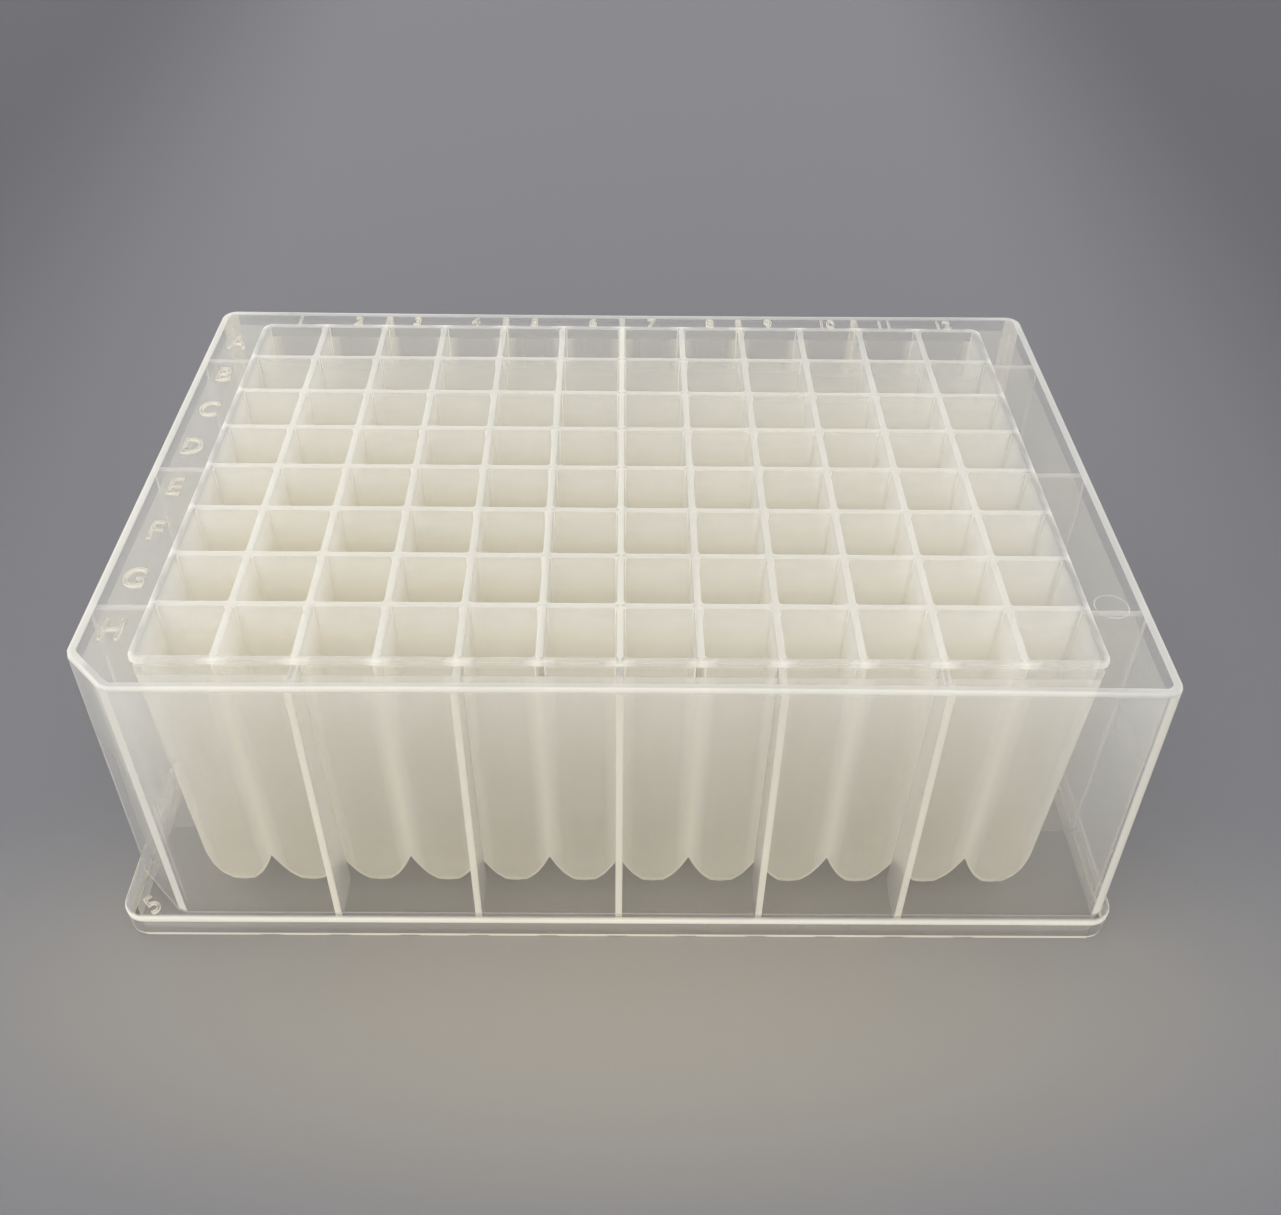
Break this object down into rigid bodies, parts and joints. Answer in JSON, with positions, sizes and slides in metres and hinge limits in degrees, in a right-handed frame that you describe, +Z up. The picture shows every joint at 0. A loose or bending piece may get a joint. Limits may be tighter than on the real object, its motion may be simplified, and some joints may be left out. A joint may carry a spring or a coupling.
{
  "type": "deep-well plate",
  "caption": "Deep-well microplate: a rectangular grid of open square wells with rounded bottoms, moulded in one piece with a flat deck, ribbed skirt, foot flange and one cut corner.",
  "frame": {"origin": "centre of the footprint, on the surface that the plate stands on", "axes": "+X along the long side, from column 1 to column 12; +Y along the short side, from row H to row A; +Z up, out of the wells"},
  "size_m": [0.1278, 0.0854, 0.044],
  "materials": {
    "natural_polypropylene": "translucent natural polypropylene, as moulded: smooth semi-gloss skirt and rims, milky where the walls are seen edge-on, clearer and slightly blue where one thin wall is looked through"
  },
  "bodies": {
    "root": {"well_plate": "natural_polypropylene"}
  },
  "joints": []
}
